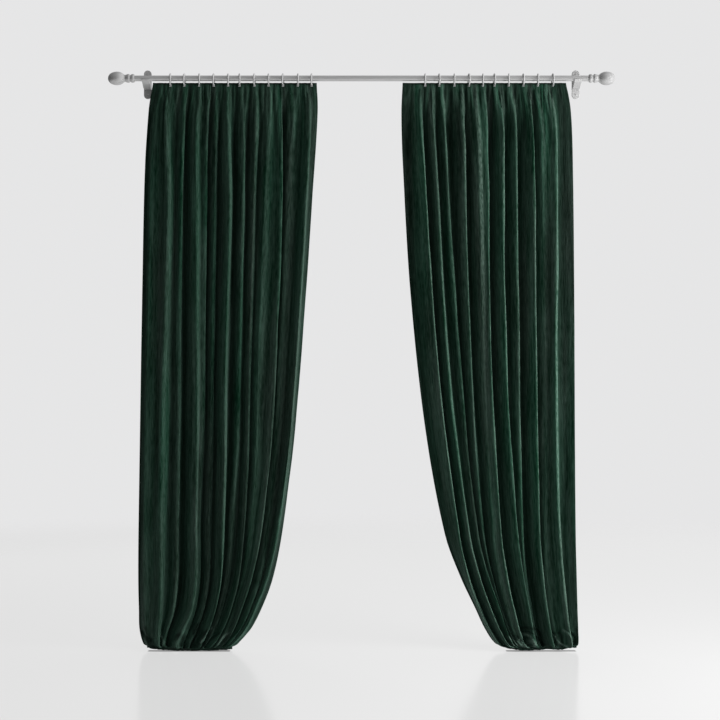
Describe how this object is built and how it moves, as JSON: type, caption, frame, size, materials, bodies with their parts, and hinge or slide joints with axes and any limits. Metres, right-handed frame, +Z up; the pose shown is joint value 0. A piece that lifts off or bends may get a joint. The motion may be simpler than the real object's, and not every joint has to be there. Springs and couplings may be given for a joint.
{
  "type": "pair of velvet drapes with tieback bands on a ringed curtain rod",
  "caption": "Floor-length velvet drapes hung in deep folds from rings on a metal wall rod, each drape swept to its outer side and drawn in at the foot by a tieback band.",
  "frame": {"origin": "on the wall, midway between the two bracket plates, at the height of the rod's axis", "axes": "+X along the rod to the right as seen from the room, +Y into the wall, +Z up"},
  "size_m": [2.232, 0.1147, 2.5659],
  "materials": {
    "velvet": "dark green cut pile with a soft sheen on the folds",
    "tieback_velvet": "the same dark green cut pile, seen in shade",
    "rod_metal": "satin grey",
    "ring_metal": "satin grey, a little brighter than the rod",
    "bracket_metal": "satin grey",
    "screw_metal": "satin grey"
  },
  "bodies": {
    "root": {"drape_left": "velvet", "drape_right": "velvet", "tieback_left": "tieback_velvet", "tieback_right": "tieback_velvet", "rod": "rod_metal", "finial_left": "rod_metal", "finial_right": "rod_metal", "bracket_left": "bracket_metal", "bracket_right": "bracket_metal", "screw_left_upper": "screw_metal", "screw_left_lower": "screw_metal", "screw_right_upper": "screw_metal", "screw_right_lower": "screw_metal", "ring_left_01": "ring_metal", "ring_left_02": "ring_metal", "ring_left_03": "ring_metal", "ring_left_04": "ring_metal", "ring_left_05": "ring_metal", "ring_left_06": "ring_metal", "ring_left_07": "ring_metal", "ring_left_08": "ring_metal", "ring_left_09": "ring_metal", "ring_left_10": "ring_metal", "ring_left_11": "ring_metal", "ring_right_01": "ring_metal", "ring_right_02": "ring_metal", "ring_right_03": "ring_metal", "ring_right_04": "ring_metal", "ring_right_05": "ring_metal", "ring_right_06": "ring_metal", "ring_right_07": "ring_metal", "ring_right_08": "ring_metal", "ring_right_09": "ring_metal", "ring_right_10": "ring_metal"}
  },
  "joints": []
}
